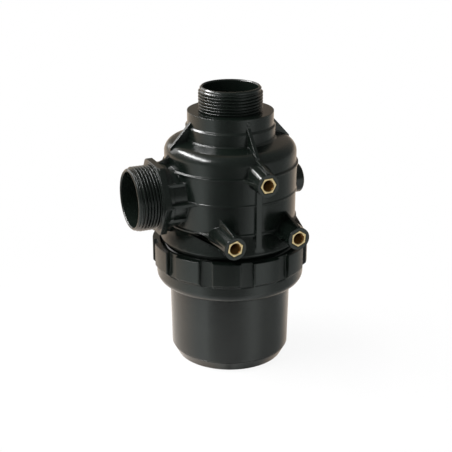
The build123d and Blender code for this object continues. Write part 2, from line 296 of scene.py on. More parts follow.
def shade_moulding(piece):
    """Smooth shading up to 32 degrees, with large faces kept flat next to small roundings."""
    take(piece)
    bpy.ops.object.shade_smooth_by_angle(angle=math.radians(32))
    even = piece.modifiers.new("even_normals", "WEIGHTED_NORMAL")
    even.keep_sharp = True
    bpy.ops.object.modifier_apply(modifier=even.name)


def finish_with(piece, material):
    """Gives the whole piece one material."""
    piece.data.materials.clear()
    piece.data.materials.append(material)


head = merged_copy("head", "head_moulding")
print("head:", len(head.data.vertices), "vertices once its triangles are merged")

# %% [markdown]
# ## A rule for round shapes
#
# Nearly every wall of the filter is round about an axis, so one helper redraws them all. It tells a
# rule each vertex's distance from the axis and its height. The rule answers with the new distance
# and height, or with None, and then the vertex stays.
#
# The first walls to move are those under the threads. In the frame they are plain cylinders at the
# size of the thread's crests. The real moulding has a core with one long ridge wound round it, so
# these walls are drawn in to the bottom of the thread. The same is done lower down, where the coarse
# thread for the ring nut is.

# %% Cores under the threads
PORT_CREST, PORT_ROOT = 23.9, 22.38  # radii of a one and a half inch pipe thread
PORT_HEIGHT = 134.2  # of the side port's axis
COLLAR_TOP, TOP_MOUTH = 193.7, 211.7
FLANGE_FRONT, SIDE_MOUTH = 63.6, 80.4  # distances from Z
NUT_CREST, NUT_ROOT = 51.2, 50.05
NUT_THREAD_BOTTOM, NUT_THREAD_TOP = 72.0, 97.1
NEAR = 0.05


def redraw(piece, rule, sideways=False):
    """Moves each vertex for which rule(distance, height) gives a new distance and height.

    The axis is Z, or, sideways, the side port's, with heights counted from Z towards its mouth.
    """
    count = 0
    for vertex in piece.data.vertices:
        x, y, z = (v / MM for v in vertex.co)
        across, height = ((y, z - PORT_HEIGHT), -x) if sideways else ((x, y), z)
        distance = math.hypot(*across)
        new = rule(distance, height) if distance > 1 else None
        if new:
            first, second = (v * new[0] / distance for v in across)
            place = (-new[1], first, second + PORT_HEIGHT) if sideways else (first, second, new[1])
            vertex.co = Vector(place) * MM
            count += 1
    return count


def wall_to(old, new, low, high=math.inf):
    """A rule that gives the round wall of radius old, between two heights, the radius new."""

    def rule(distance, height):
        return (new, height) if low < height < high and abs(distance - old) < NEAR else None

    return rule


port_core = wall_to(PORT_CREST, PORT_ROOT, COLLAR_TOP - 0.1)
side_core = wall_to(PORT_CREST, PORT_ROOT, FLANGE_FRONT - 0.1)
screw_core = wall_to(NUT_CREST, NUT_ROOT, NUT_THREAD_BOTTOM, NUT_THREAD_TOP)
print("top port, vertices drawn in:", redraw(head, port_core))
print("side port, vertices drawn in:", redraw(head, side_core, sideways=True))
print("nut's thread, vertices drawn in:", redraw(head, screw_core))

# %% [markdown]
# ## The lines of the photograph
#
# Laid over the photograph, the head of the frame has three lines that lie elsewhere. The walls
# between the ring lines stand out by some tenths of a millimetre. The shoulder bends tighter, then
# slopes up gently. The neck is wider than the collar above it and ends in a sloping ledge. Each has
# its own rule, and a vertex follows the first one that knows it. The inside stays.

# %% Walls, shoulder and neck
# Radii in the frame and in the photograph, from the skirt up to the shoulder
WALLS = (
    (53.0, 53.2),
    (48.0, 48.3),
    (48.7, 49.5),
    (49.6, 50.4),
    (49.8, 50.0),
    (50.25, 50.45),
    (50.7, 50.9),
    (49.3, 49.5),
)
WALLS_BOTTOM, WALLS_TOP = 96.9, 162.0
BEND_START = 158.6  # just under the height where the frame's walls turn into the shoulder
BEND_CENTRE, BEND_RADIUS = (31.4, 158.701), 17.9  # the frame's shoulder
TIGHT_CENTRE, TIGHT_RADIUS = (40.5, 163.0), 9.0  # the photograph's
SLOPE = math.radians(12)
SLOPE_END = 34.3
NECK, NEW_NECK = 30.6, 33.5
NECK_FOOT, NEW_FOOT = 177.401, 174.32
NECK_TOP, LEDGE = 183.401, 184.1
COLLAR = 32.1
LEDGE_DROP = 1.3


def between(value, start, end, new_start, new_end):
    """The place of value between start and end, carried over to another pair."""
    return new_start + (value - start) / (end - start) * (new_end - new_start)


def wall_line(distance, height):
    """Walls and ring lines: to the photograph's radius, and up to where the tight bend starts."""
    for old, new in WALLS:
        if WALLS_BOTTOM < height < WALLS_TOP and abs(distance - old) < 0.04:
            return new, height if height < BEND_START else TIGHT_CENTRE[1]
    return None


def shoulder_line(distance, height):
    """The shoulder, and what is set into it by up to 2 mm: a tight bend, then a gentle slope."""
    across, up = distance - BEND_CENTRE[0], height - BEND_CENTRE[1]
    on_the_bend = BEND_RADIUS - 2.1 < math.hypot(across, up) < BEND_RADIUS + 0.2
    if not (on_the_bend and distance > 31.3 and 158.75 < height < 176.65):
        return None
    turn = math.atan2(up, across)
    slope_starts = math.pi / 2 - SLOPE
    along = min(turn, slope_starts)
    reach = TIGHT_CENTRE[0] + TIGHT_RADIUS * math.cos(along)
    rise = TIGHT_CENTRE[1] + TIGHT_RADIUS * math.sin(along)
    if turn > slope_starts:
        inward = between(turn, slope_starts, math.pi / 2, reach, SLOPE_END)
        rise += (reach - inward) * math.tan(SLOPE)
        reach = inward
    return reach, rise


def neck_line(distance, height):
    """The neck, widened and brought down to the new shoulder, and its ledge under the collar."""
    if 30.5 < distance < 31.4 and 176.5 < height < NECK_TOP - 0.1:
        if height < NECK_FOOT - NEAR:
            return distance + NEW_NECK - NECK, height + NEW_FOOT - NECK_FOOT
        lifted = between(height, NECK_FOOT, NECK_TOP, NEW_FOOT, LEDGE - LEDGE_DROP)
        return distance + NEW_NECK - NECK, lifted
    if 30.5 < distance < COLLAR + 0.1 and abs(height - NECK_TOP) < 0.1:
        drop = between(distance, NECK, COLLAR, LEDGE_DROP, 0)
        return between(distance, NECK, COLLAR, NEW_NECK, COLLAR), LEDGE - drop
    return None


def head_line(distance, height):
    """The first rule that knows the vertex says where it goes."""
    return (
        wall_line(distance, height)
        or shoulder_line(distance, height)
        or neck_line(distance, height)
    )


print("head vertices redrawn:", redraw(head, head_line))

# %% [markdown]
# ## Smaller corrections to the head
#
# Both ports have a thin rim and a mouth that narrows gently inwards. The small round mark on the
# front of the collar was left by an ejector pin of the mould, and is larger and higher up than in
# the frame. The left boss has a level web on its outer side, and its slanting edge meets the wall
# nearer to the boss. To find that place, the edge's line from the tip is cut with a circle about Z.

# %% Mouths, ejector mark and left web
MOUTH_RADII = ((18.2, 20.5), (19.0, 21.1))  # the bore and its chamfer, in the frame and here
for old, new in MOUTH_RADII:
    moved = redraw(head, wall_to(old, new, 205))
    moved += redraw(head, wall_to(old, new, 75), sideways=True)
    print("mouths opened from", old, "to", new, "mm:", moved, "vertices")

MARK_HEIGHT, NEW_MARK_HEIGHT = 188.036, 190.1
MARK_GROWTH = 1.5
for vertex in head.data.vertices:
    x, y, z = (v / MM for v in vertex.co)
    if y < -31.9 and math.hypot(x, z - MARK_HEIGHT) < 1.1:
        raised = NEW_MARK_HEIGHT + (z - MARK_HEIGHT) * MARK_GROWTH
        vertex.co = Vector((x * MARK_GROWTH, y, raised)) * MM

WEB_TIP = Vector((-33.2, -63.0))  # seen from above, as the two roots are
OLD_ROOT, NEW_ROOT = Vector((-44.9, -17.87)), Vector((-38.0, -29.6))
old_way = (OLD_ROOT - WEB_TIP).normalized()
new_way = (NEW_ROOT - WEB_TIP).normalized()
for vertex in head.data.vertices:
    x, y, z = (v / MM for v in vertex.co)
    spot = Vector((x, y))
    on_the_edge = abs((spot - WEB_TIP).cross(old_way)) < 0.9
    if on_the_edge and 109.8 < z < 112.4 and -48 < x < -40 and -30 < y < -10:
        toward = WEB_TIP.dot(new_way)
        reach = -toward - math.sqrt(toward**2 - WEB_TIP.length_squared + spot.length_squared)
        new_spot = WEB_TIP + new_way * reach
        vertex.co = (new_spot.x * MM, new_spot.y * MM, vertex.co.z)
        print("web root moved to", [round(v, 1) for v in new_spot])

# %% [markdown]
# The side port's flange is a hexagon for a spanner, and its six corners are turned down. In edit
# mode the six edges along the corners are picked by their distance from the port's axis, and the
# bevel operator rounds them.

# %% Flange corners
FLANGE_CORNER = 29.445
take(head)
bpy.ops.object.mode_set(mode="EDIT")
bpy.ops.mesh.select_mode(type="EDGE")
bpy.ops.mesh.select_all(action="DESELECT")
moulding = bmesh.from_edit_mesh(head.data)
for edge in moulding.edges:
    far = [math.hypot(v.co.y / MM, v.co.z / MM - PORT_HEIGHT) for v in edge.verts]
    front, back = sorted(v.co.x / MM for v in edge.verts)
    at_corner = all(abs(f - FLANGE_CORNER) < 0.1 for f in far)
    edge.select = at_corner and front < -62 and -58 < back < -57
print("flange corners:", sum(edge.select for edge in moulding.edges))
bmesh.update_edit_mesh(head.data)
bpy.ops.mesh.bevel(offset=1.7 * MM, segments=4, profile=0.5)
bpy.ops.object.mode_set(mode="OBJECT")
shade_moulding(head)
finish_with(head, head_nylon)
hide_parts("head")
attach(head, "head")

# %% [markdown]
# ## Gussets
#
# Four thin plates brace the collar. Each starts a little way up the collar, runs down outside the
# neck to a knee near the shoulder's edge, and drops into the body there. The plate is drawn once as
# a five-sided face, pulled out to its thickness, and turned into its four places.

# %% Four gussets
GUSSET = ((30.0, 187.3), (32.1, 187.3), (48.3, 169.6), (48.3, 160.0), (30.0, 160.0))
GUSSET_THICKNESS = 2.7


def settle(piece):
    """Moves the piece's place, turn and size into its mesh, so the object sits at the origin."""
    take(piece)
    bpy.ops.object.transform_apply(location=True, rotation=True, scale=True)
    return piece


for quarter, side in enumerate(("right", "back", "left", "front")):
    bpy.ops.object.select_all(action="DESELECT")
    bpy.ops.mesh.primitive_circle_add(vertices=len(GUSSET), radius=1, fill_type="NGON")
    plate = bpy.context.object
    plate.name = "gusset_" + side
    for vertex, (distance, height) in zip(plate.data.vertices, GUSSET):
        vertex.co = Vector((distance, GUSSET_THICKNESS / 2, height)) * MM
    bpy.ops.object.mode_set(mode="EDIT")
    bpy.ops.mesh.select_all(action="SELECT")
    bpy.ops.mesh.extrude_region_move(
        TRANSFORM_OT_translate={"value": (0, -GUSSET_THICKNESS * MM, 0)}
    )
    bpy.ops.mesh.select_all(action="SELECT")
    bpy.ops.mesh.normals_make_consistent(inside=False)
    bpy.ops.object.mode_set(mode="OBJECT")
    plate.rotation_euler = (0, 0, math.radians(90 * quarter))
    settle(plate)
    finish_with(plate, head_nylon)
    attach(plate, "head")
print("gussets stand on the collar up to", GUSSET[0][1], "mm")

# %% [markdown]
# ## Screw threads
#
# A thread is one ridge, wound round a core. Here the ridge starts as a small square plane, one tooth
# wide and one tooth deep. Its outer edge is scaled down, which makes the section of a tooth with
# sloping sides and a narrow crest. The Screw modifier then winds that section up the core by one
# pitch a turn, and the two open ends are closed. Last, the end at the mouth is trimmed to a cone, as
# on a real pipe end, so that a coupling can start on it.


# %% One function for every thread
def pick(piece, wanted):
    """In edit mode, selects only the vertices for which wanted(place) is true."""
    mesh = bmesh.from_edit_mesh(piece.data)
    bpy.ops.mesh.select_mode(type="VERT")
    bpy.ops.mesh.select_all(action="DESELECT")
    for vertex in mesh.verts:
        vertex.select = bool(wanted(vertex.co))
    mesh.select_flush(True)
    bmesh.update_edit_mesh(piece.data)


def apply_all(piece):
    """Applies the piece's modifiers in order."""
    take(piece)
    for modifier in list(piece.modifiers):
        bpy.ops.object.modifier_apply(modifier=modifier.name)


def wound_ridge(name, core, crest, pitch, turns, bottom, lead=None, steps=96, crest_share=0.2):
    """A thread's ridge round Z. It starts at height bottom; lead(height, radius) trims it."""
    depth = crest - core
    bpy.ops.object.select_all(action="DESELECT")
    bpy.ops.mesh.primitive_plane_add(size=1, location=(0, 0, 0))
    tooth = bpy.context.object
    tooth.name = name
    tooth.rotation_euler = (math.radians(90), 0, 0)
    tooth.scale = (abs(depth) * MM, pitch * 0.94 * MM, 1)
    tooth.location = ((core + depth / 2) * MM, 0, bottom * MM)
    settle(tooth)
    bpy.ops.object.mode_set(mode="EDIT")
    pick(tooth, lambda place: abs(place.x / MM - crest) < abs(depth) * 0.1)
    bpy.ops.transform.resize(value=(1, 1, crest_share))
    bpy.ops.mesh.select_all(action="SELECT")
    bpy.ops.mesh.delete(type="ONLY_FACE")
    bpy.ops.object.mode_set(mode="OBJECT")
    winding = tooth.modifiers.new("winding", "SCREW")
    winding.axis = "Z"
    winding.angle = math.tau
    winding.screw_offset = pitch * MM
    winding.iterations = turns
    winding.steps = steps
    winding.render_steps = steps
    winding.use_merge_vertices = False
    apply_all(tooth)
    if lead:
        for vertex in tooth.data.vertices:
            radius = math.hypot(vertex.co.x, vertex.co.y) / MM
            trim = lead(vertex.co.z / MM, radius) / radius
            vertex.co.x *= trim
            vertex.co.y *= trim
    take(tooth)
    bpy.ops.object.mode_set(mode="EDIT")
    bpy.ops.mesh.select_all(action="DESELECT")
    bpy.ops.mesh.select_mode(type="EDGE")
    bpy.ops.mesh.select_non_manifold(extend=False)
    bpy.ops.mesh.fill_holes(sides=0)
    bpy.ops.mesh.select_all(action="SELECT")
    bpy.ops.mesh.normals_make_consistent(inside=False)
    bpy.ops.object.mode_set(mode="OBJECT")
    bpy.ops.object.shade_smooth_by_angle(angle=math.radians(25))
    return tooth


# %% Top port's thread
PIPE_PITCH = 2.309  # eleven threads to the inch
PIPE_TURNS = 8
THREAD_TOP = 209.7  # the last turn fades out below the mouth
SUNK = 0.2  # a ridge's foot goes this far into its core


def fade_at_mouth(height, radius):
    """Near the mouth the crest comes down on a cone, to just under the core."""
    cone = PORT_ROOT + (THREAD_TOP - 0.2 - height) * 1.1
    return min(radius, max(PORT_ROOT - 0.15, cone))


top_thread = wound_ridge(
    "top_port_thread",
    PORT_ROOT - SUNK,
    PORT_CREST,
    PIPE_PITCH,
    PIPE_TURNS,
    THREAD_TOP - PIPE_TURNS * PIPE_PITCH,
    lead=fade_at_mouth,
)
finish_with(top_thread, head_nylon)
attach(top_thread, "head")
print("top thread:", len(top_thread.data.polygons), "faces over", PIPE_TURNS, "turns")

# %% [markdown]
# The side port has the same thread, so it is copied and laid over on its side, where its first turn
# starts inside the flange. A turn keeps a thread right-handed, where a mirror would not.

# %% Side port's thread
side_thread = copy_of(top_thread, "side_port_thread")
side_thread.rotation_euler = (0, math.radians(-90), 0)
side_thread.location = Vector((TOP_MOUTH - SIDE_MOUTH, 0, PORT_HEIGHT)) * MM
settle(side_thread)
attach(side_thread, "head")
print("side thread reaches to x", round(min(v.co.x for v in side_thread.data.vertices) / MM, 1))

# %% [markdown]
# ## The coarse thread under the nut
#
# It only shows once the nut is off: a strong thread of 4 mm pitch that brings the bowl home in three
# turns. The head carries it outside and the nut carries it inside. The crests keep the 0.4 mm of
# room that the frame has between them.

# %% Coarse thread of the head
COARSE_PITCH = 4.0
COARSE_BOTTOM = 72.6
COARSE_STEPS, COARSE_CREST = 120, 0.3


def fade_at_foot(height, radius):
    """At the bottom the crest rises from the core on a cone."""
    cone = NUT_ROOT + (height - COARSE_BOTTOM + 0.3) * 0.9
    return min(radius, max(NUT_ROOT - 0.15, cone))


head_screw = wound_ridge(
    "head_coarse_thread",
    NUT_ROOT - SUNK,
    NUT_CREST,
    COARSE_PITCH,
    6,
    COARSE_BOTTOM,
    lead=fade_at_foot,
    steps=COARSE_STEPS,
    crest_share=COARSE_CREST,
)
finish_with(head_screw, head_nylon)
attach(head_screw, "head")
print("head's coarse thread:", len(head_screw.data.polygons), "faces")

# %% [markdown]
# ## The ring nut
#
# The nut's bore is opened to the bottom of its own thread. Outside, the photograph shows a larger
# bend at its lower corner, a higher underside, a rim that starts lower and slopes up to the foot of
# the pads, and shallow slots between the pads. The slots' walls slope, as a moulding's must to come
# out of its mould, so their corners are moved out and closer together.

# %% Ring nut
NUT_BORE, NUT_GROOVE = 51.6, 52.7
NUT_LIP, NEW_LIP = 46.0, 47.4
UNDERSIDE, NEW_UNDERSIDE = 60.5, 61.2
CORNER, NEW_CORNER = (52.4, 65.1), (49.4, 68.2)  # centres of the lower corner's bend
NEW_CORNER_RADIUS = 7.0
RIM, NEW_RIM = 57.0, 56.4
PAD_FOOT, NEW_PAD_FOOT = 75.0, 74.3
PAD_FOOT_SLOPE = 0.95
SLOT_CORNER, NEW_SLOT_CORNER = 55.01, 56.0
SLOT_BEARING, SLOT_SPACE = 18.7, 30.0  # degrees
SLOT_CLOSING = 0.78

nut = merged_copy("ring_nut", "nut_moulding")
print("nut bore vertices opened:", redraw(nut, wall_to(NUT_BORE, NUT_GROOVE, 65)))


def nut_line(distance, height):
    if height < UNDERSIDE + NEAR and distance < CORNER[0] + NEAR:
        return between(distance, NUT_LIP, CORNER[0], NEW_LIP, NEW_CORNER[0]), NEW_UNDERSIDE
    if height < CORNER[1] + NEAR and distance > CORNER[0] - NEAR:
        turn = math.atan2(CORNER[1] - height, distance - CORNER[0])
        reach = NEW_CORNER[0] + NEW_CORNER_RADIUS * math.cos(turn)
        return reach, NEW_CORNER[1] - NEW_CORNER_RADIUS * math.sin(turn)
    if abs(distance - NUT_LIP) < NEAR and height < 66:
        return NEW_LIP, height
    if abs(height - PAD_FOOT) < NEAR and distance > 52:
        if distance > RIM + 0.2:
            return distance, NEW_PAD_FOOT + (distance - NEW_RIM) * PAD_FOOT_SLOPE
        return NEW_RIM if abs(distance - RIM) < NEAR else distance, NEW_PAD_FOOT
    return None


print("nut vertices redrawn:", redraw(nut, nut_line))

slotted = 0
for vertex in nut.data.vertices:
    x, y, z = (v / MM for v in vertex.co)
    if z > NEW_PAD_FOOT - 0.1 and abs(math.hypot(x, y) - SLOT_CORNER) < 0.08:
        bearing = math.degrees(math.atan2(y, x)) - SLOT_BEARING
        middle = SLOT_SPACE * round(bearing / SLOT_SPACE)
        closed = math.radians(SLOT_BEARING + middle + (bearing - middle) * SLOT_CLOSING)
        spot = Vector((math.cos(closed), math.sin(closed))) * NEW_SLOT_CORNER * MM
        vertex.co = (spot.x, spot.y, vertex.co.z)
        slotted += 1
print("slot corners moved:", slotted)
shade_moulding(nut)
finish_with(nut, head_nylon)
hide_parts("ring_nut")
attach(nut, "ring_nut")

# %% [markdown]
# The nut's own thread is wound like the others, but from the groove inwards: its crest has the
# smaller radius.

# %% Coarse thread of the nut
nut_screw = wound_ridge(
    "nut_coarse_thread",
    NUT_GROOVE + SUNK,
    NUT_BORE,
    COARSE_PITCH,
    4,
    COARSE_BOTTOM,
    steps=COARSE_STEPS,
    crest_share=COARSE_CREST,
)
finish_with(nut_screw, head_nylon)
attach(nut_screw, "ring_nut")
print("nut's coarse thread:", len(nut_screw.data.polygons), "faces")

# %% [markdown]
# ## The bowl
#
# The bowl is a plain cup. The photograph shows it a little fuller than the frame, with a straight
# chamfer at its foot, so its outer wall is redrawn by the same kind of rule as the head.

# %% Bowl
FOOT_RADIUS = 41.2
CHAMFER, NEW_CHAMFER = 7.6, 7.8  # heights
BOWL_TOP = 65.8  # the wall's, under the flange
WALL_LOW, WALL_HIGH = 45.4, 46.5  # the wall's radius at the chamfer and under the flange

bowl = merged_copy("bowl", "bowl_moulding")


def bowl_line(distance, height):
    if height < CHAMFER + NEAR and distance > 40.15:
        rise = height * NEW_CHAMFER / CHAMFER
        return between(rise, 0, NEW_CHAMFER, FOOT_RADIUS, WALL_LOW), rise
    if CHAMFER + NEAR < height < BOWL_TOP + NEAR and 43.9 < distance < 45.3:
        return between(height, CHAMFER, BOWL_TOP, WALL_LOW, WALL_HIGH), height
    return None


print("bowl vertices redrawn:", redraw(bowl, bowl_line))
shade_moulding(bowl)
finish_with(bowl, bowl_nylon)
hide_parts("bowl")
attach(bowl, "bowl")

# %% [markdown]
# ## Brass inserts
#
# Each insert is a short length of hexagon bar with a blind tapped hole, held in the boss by its flats.
# A ring of 48 points is drawn out to the hexagon, another makes the mouth of the hole, and the two
# are bridged to give the face. The outer ring is extruded back for the body, the inner one for the
# countersink and the hole.

# %% One insert
FLATS = 11.0
TURNED_CORNER = 0.35
TAPPED = 4.0  # the bottom of an 8 mm thread, in the wall
COUNTERSINK = 0.45
INSERT_LENGTH = 14.0
HOLE_DEPTH = 12.0


def ring_of_points(radius):
    """A flat ring of 48 points round Z, at the origin's height."""
    bpy.ops.object.select_all(action="DESELECT")
    bpy.ops.mesh.primitive_circle_add(vertices=48, radius=radius * MM, location=(0, 0, 0))
    return settle(bpy.context.object)


def pull_back(depth, growth=1.0):
    """Extrudes what is selected downwards by depth, and scales it there."""
    bpy.ops.mesh.extrude_region_move(TRANSFORM_OT_translate={"value": (0, 0, -depth * MM)})
    bpy.ops.transform.resize(value=(growth, growth, 1))


outline = ring_of_points(FLATS / 2 - TURNED_CORNER)
for vertex in outline.data.vertices:
    # From each point's direction, how far out the hexagon's flat lies there
    bearing = math.atan2(vertex.co.y, vertex.co.x) % (math.pi / 3) - math.pi / 6
    vertex.co *= 1 / math.cos(bearing)
mouth = ring_of_points(TAPPED + COUNTERSINK)
take(outline, mouth)
bpy.ops.object.join()
insert = bpy.context.object
insert.name = "insert_blank"
bpy.ops.object.mode_set(mode="EDIT")
bpy.ops.mesh.select_all(action="SELECT")
bpy.ops.mesh.bridge_edge_loops()
pick(insert, lambda place: math.hypot(place.x, place.y) > 4.8 * MM)
pull_back(TURNED_CORNER, (FLATS / 2) / (FLATS / 2 - TURNED_CORNER))
pull_back(INSERT_LENGTH - TURNED_CORNER)
bpy.ops.mesh.edge_face_add()
pick(insert, lambda place: math.hypot(place.x, place.y) < 4.6 * MM and place.z > -0.1 * MM)
pull_back(COUNTERSINK, TAPPED / (TAPPED + COUNTERSINK))
pull_back(HOLE_DEPTH - COUNTERSINK)
bpy.ops.mesh.edge_face_add()
bpy.ops.mesh.select_all(action="SELECT")
bpy.ops.mesh.normals_make_consistent(inside=False)
bpy.ops.object.mode_set(mode="OBJECT")
bpy.ops.object.shade_smooth_by_angle(angle=math.radians(30))
finish_with(insert, brass)
# The faces round the hole get the darker copy of the brass: painted shade down the hole.
insert.data.materials.append(brass_painted_shade)
for face in insert.data.polygons:
    if math.hypot(face.center.x, face.center.y) < 4.2 * MM:
        face.material_index = 1
print("insert:", len(insert.data.polygons), "faces")

# %% [markdown]
# The internal thread is a ridge that is wound inwards from the hole's wall and fades out at the
# countersink. Insert and thread are modelled once, looking up along +Z, and copied into the three
# bosses. Each copy is laid over to look along -Y, turned in its boss as in the photograph, and the
# two first pieces are deleted.

# %% Tapping, and three copies
HOLE = 3.4
TAP_PITCH = 1.25
TAP_SUNK = 0.08
FACE_Y = -66.0


def fade_at_face(height, radius):
    """Near the face the crest goes back into the wall on a cone."""
    cone = HOLE + max(0, height + 1.1) * 0.9
    return max(radius, min(TAPPED + TAP_SUNK, cone))


tap = wound_ridge(
    "insert_tap",
    TAPPED + TAP_SUNK,
    HOLE,
    TAP_PITCH,
    9,
    0.1 - HOLE_DEPTH,
    lead=fade_at_face,
    steps=32,
)
# The tapping wears the darker copy of the brass too: painted shade down the hole.
finish_with(tap, brass_painted_shade)

# Side, height and turn in degrees of each insert
BOSSES = {
    "insert_top": (0.0, 154.401, 2.0),
    "insert_left": (-25.0, 111.1, 18.0),
    "insert_right": (25.0, 111.1, 26.0),
}
for node, (side, height, turn) in BOSSES.items():
    for source, name in ((insert, node + "_brass"), (tap, node + "_tapping")):
        piece = copy_of(source, name)
        laid_over = Euler((math.radians(90), 0, 0)).to_matrix()
        turned = laid_over @ Matrix.Rotation(math.radians(turn), 3, "Z")
        piece.rotation_euler = turned.to_euler()
        piece.location = Vector((side, FACE_Y, height)) * MM
        settle(piece)
        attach(piece, "head")
        if source is insert:
            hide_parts(node)
take(insert, tap)
bpy.ops.object.delete()
print("inserts placed:", list(BOSSES))

# %% [markdown]
# ## The screen
#
# The cartridge's screen is a tube of woven stainless wire. A cylinder with a square grid of edges is
# the drawing of the cloth. Every second crossing is pushed out and the others in, so that the wires
# pass over and under each other, and the Wireframe modifier turns each edge into a wire. The real
# cloth is finer: at half a millimetre it would be lost in the picture, so it is drawn at 2 mm.

# %% Woven wire screen
COLUMNS, ROWS = 96, 70
WIRE = 0.42
WEAVE = 0.10  # how far a crossing lies in front of the tube or behind it
low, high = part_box("screen")
bottom, top = low.z + 0.4 * MM, high.z - 0.4 * MM
screen_radius = high.x - 0.35 * MM
bpy.ops.object.select_all(action="DESELECT")
bpy.ops.mesh.primitive_cylinder_add(
    vertices=COLUMNS,
    radius=screen_radius,
    depth=top - bottom,
    end_fill_type="NOTHING",
    location=(0, 0, (top + bottom) / 2),
)
screen = settle(bpy.context.object)
screen.name = "woven_screen"
bpy.ops.object.mode_set(mode="EDIT")
bpy.ops.mesh.select_mode(type="EDGE")
bpy.ops.mesh.select_all(action="DESELECT")
cloth = bmesh.from_edit_mesh(screen.data)
for edge in cloth.edges:
    edge.select = abs(edge.verts[0].co.z - edge.verts[1].co.z) > 1 * MM
bmesh.update_edit_mesh(screen.data)
bpy.ops.mesh.subdivide(number_cuts=ROWS - 1)
bpy.ops.object.mode_set(mode="OBJECT")
for vertex in screen.data.vertices:
    column = round(math.atan2(vertex.co.y, vertex.co.x) / math.tau * COLUMNS)
    row = round((vertex.co.z - bottom) / (top - bottom) * ROWS)
    weave = 1 + (WEAVE if (column + row) % 2 else -WEAVE) * MM / screen_radius
    vertex.co.x *= weave
    vertex.co.y *= weave
wires = screen.modifiers.new("wires", "WIREFRAME")
wires.thickness = WIRE * MM
wires.use_even_offset = False
wires.use_boundary = True
apply_all(screen)
bpy.ops.object.shade_smooth()
finish_with(screen, wire)
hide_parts("screen")
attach(screen, "cartridge")
print("screen:", len(screen.data.polygons), "faces")

# %% [markdown]
# ## The round seal
#
# The frame gives the bowl's seal eight flats. The real one is an O-ring, moulded in two halves, which
# leaves a fine flash line round its outside. A torus gives the ring, and its outermost loop of points
# is moved out by a little under a tenth of a millimetre for the flash.

# %% O-ring
FLASH = 0.08
low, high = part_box("bowl_seal")
cord = (high.z - low.z) / 2
middle = (0, 0, (low.z + high.z) / 2)
bpy.ops.object.select_all(action="DESELECT")
bpy.ops.mesh.primitive_torus_add(
    major_radius=high.x - cord,
    minor_radius=cord,
    major_segments=128,
    minor_segments=20,
    location=middle,
)
seal = settle(bpy.context.object)
seal.name = "bowl_o_ring"
bpy.ops.object.mode_set(mode="EDIT")
pick(seal, lambda place: math.hypot(place.x, place.y) > high.x - 0.01 * MM)
flash = 1 + FLASH * MM / high.x
bpy.ops.transform.resize(value=(flash, flash, 1), center_override=middle)
bpy.ops.object.mode_set(mode="OBJECT")
bpy.ops.object.shade_smooth_by_angle(angle=math.radians(40))
finish_with(seal, rubber)
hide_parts("bowl_seal")
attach(seal, "bowl")
print("seal cord is", round(2 * cord / MM, 2), "mm thick")

# %% [markdown]
# ## The floor
#
# The photograph was taken on white. The floor is a thin veil of white paper round the object: it
# takes the shadow, and the white world shows through it, so that the bowl stays in sight when it is
# lowered past the floor. In reflections, too, only the paper round the object shows, and the room's
# levels take over further out. The studio's places and sizes are in metres.

# %% Floor
FLOOR_SIZE = 6
VEIL_START, VEIL_END = 0.06, 0.25  # from this far out to this far out the paper goes clear
MIRROR_END = 0.28
CLEAR_TO_EYE, CLEAR_TO_GLOSS = 0.90, 0.62  # how clear it is close to the object


def straight_or_through(tree, rays):
    """A socket that is 1 for the camera's rays, straight ones and those through something clear."""
    either = {0: rays.outputs["Is Camera Ray"], 1: rays.outputs["Is Transmission Ray"]}
    return add_node(tree, "ShaderNodeMath", either, operation="MAXIMUM").outputs[0]


bpy.ops.object.select_all(action="DESELECT")
bpy.ops.mesh.primitive_plane_add(size=FLOOR_SIZE, location=(0, 0, -0.2 * MM))
floor = bpy.context.object
floor.name = "studio_floor"
paper = empty_material("white_paper")
tree = paper.node_tree
rays = add_node(tree, "ShaderNodeLightPath")
point = add_node(tree, "ShaderNodeNewGeometry")
away = add_node(tree, "ShaderNodeVectorMath", {0: point.outputs["Position"]}, operation="LENGTH")
clear_to_eye = add_node(
    tree,
    "ShaderNodeMapRange",
    {
        "Value": away.outputs["Value"],
        "From Min": VEIL_START,
        "From Max": VEIL_END,
        "To Min": CLEAR_TO_EYE,
        "To Max": 1.0,
    },
    interpolation_type="SMOOTHSTEP",
)
eye_share = add_node(
    tree,
    "ShaderNodeMath",
    {0: straight_or_through(tree, rays), 1: clear_to_eye.outputs["Result"]},
    operation="MULTIPLY",
)
clear_to_gloss = add_node(
    tree,
    "ShaderNodeMapRange",
    {
        "Value": away.outputs["Value"],
        "From Min": VEIL_START,
        "From Max": MIRROR_END,
        "To Min": CLEAR_TO_GLOSS,
        "To Max": 1.0,
    },
)
gloss_share = add_node(
    tree,
    "ShaderNodeMath",
    {0: clear_to_gloss.outputs["Result"], 1: rays.outputs["Is Glossy Ray"]},
    operation="MULTIPLY",
)
matt = add_node(tree, "ShaderNodeBsdfDiffuse", {"Color": to_linear("#FFFFFF")})
open_space = add_node(tree, "ShaderNodeBsdfTransparent")
to_eye = add_node(
    tree,
    "ShaderNodeMixShader",
    {0: eye_share.outputs[0], 1: matt.outputs[0], 2: open_space.outputs[0]},
)
to_all = add_node(
    tree,
    "ShaderNodeMixShader",
    {0: gloss_share.outputs[0], 1: to_eye.outputs[0], 2: open_space.outputs[0]},
)
add_node(tree, "ShaderNodeOutputMaterial", {"Surface": to_all.outputs[0]})
finish_with(floor, paper)
print("floor is clear from", VEIL_END, "m out")

# %% [markdown]
# ## The room
#
# Black plastic shows almost nothing of its own colour: what the eye sees is its reflection of the
# room, and the stripes on the bowl tell what stood there. Read from left to right they are a white
# wall behind, a paper edge on the left, the dark room on the camera's side, a narrow paper edge on
# the right, a dimmer side and white again. So the world has two strips of light levels laid round the
# object, one below the horizon, which upright walls reflect when they are seen from above, and a
# duller one above it. Bearings are counted from the camera's direction.

